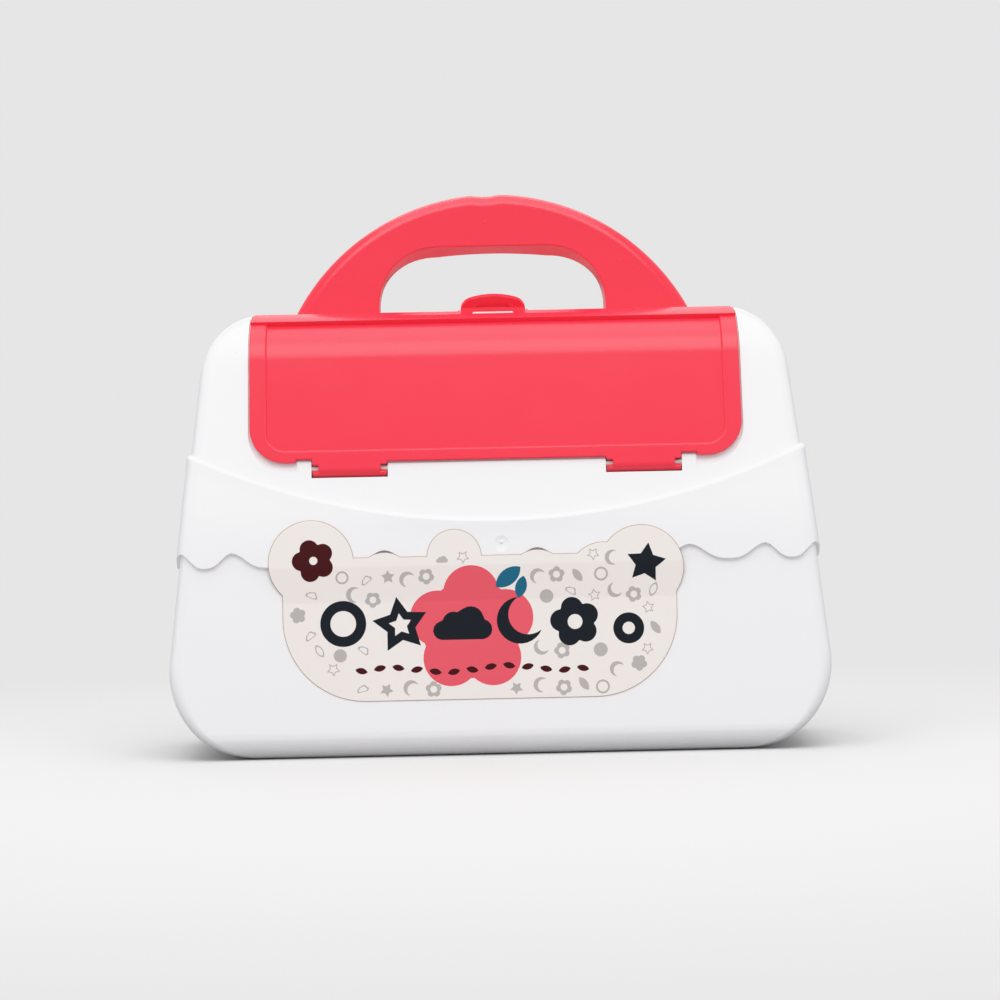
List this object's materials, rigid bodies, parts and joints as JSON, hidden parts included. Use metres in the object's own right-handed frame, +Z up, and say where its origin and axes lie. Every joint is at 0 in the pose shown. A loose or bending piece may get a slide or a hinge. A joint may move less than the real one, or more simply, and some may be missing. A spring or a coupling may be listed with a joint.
{
  "type": "toy doctor case",
  "caption": "Plastic toy carry case with an arch handle, leaning front and a drop-down front door that latches under a finger tab.",
  "frame": {"origin": "middle of the base, at the level the case stands on", "axes": "+X to the right seen from the front, -Y out of the front door, +Z up"},
  "size_m": [0.2704, 0.0988, 0.23],
  "materials": {
    "white_plastic": "warm white moulded plastic, satin gloss",
    "coral_plastic": "coral red moulded plastic, satin gloss",
    "pin_plastic": "white plastic rod",
    "steel": "zinc-plated steel",
    "sticker": "printed beige sticker, satin"
  },
  "bodies": {
    "case": {"front_shell": "white_plastic", "rear_shell": "white_plastic", "hinge_pin_left": "pin_plastic", "hinge_pin_right": "pin_plastic", "handle_front": "coral_plastic", "handle_rear": "coral_plastic", "shell_screws": "steel", "handle_screws": "steel", "front_label": "sticker"},
    "door": {"front_door": "coral_plastic"}
  },
  "joints": [
    {"name": "door_hinge", "type": "hinge", "parent": "case", "child": "door", "pos_m": [0, -0.03711, 0.1164], "axis": [1, 0, 0], "range_deg": [0, 95]}
  ]
}
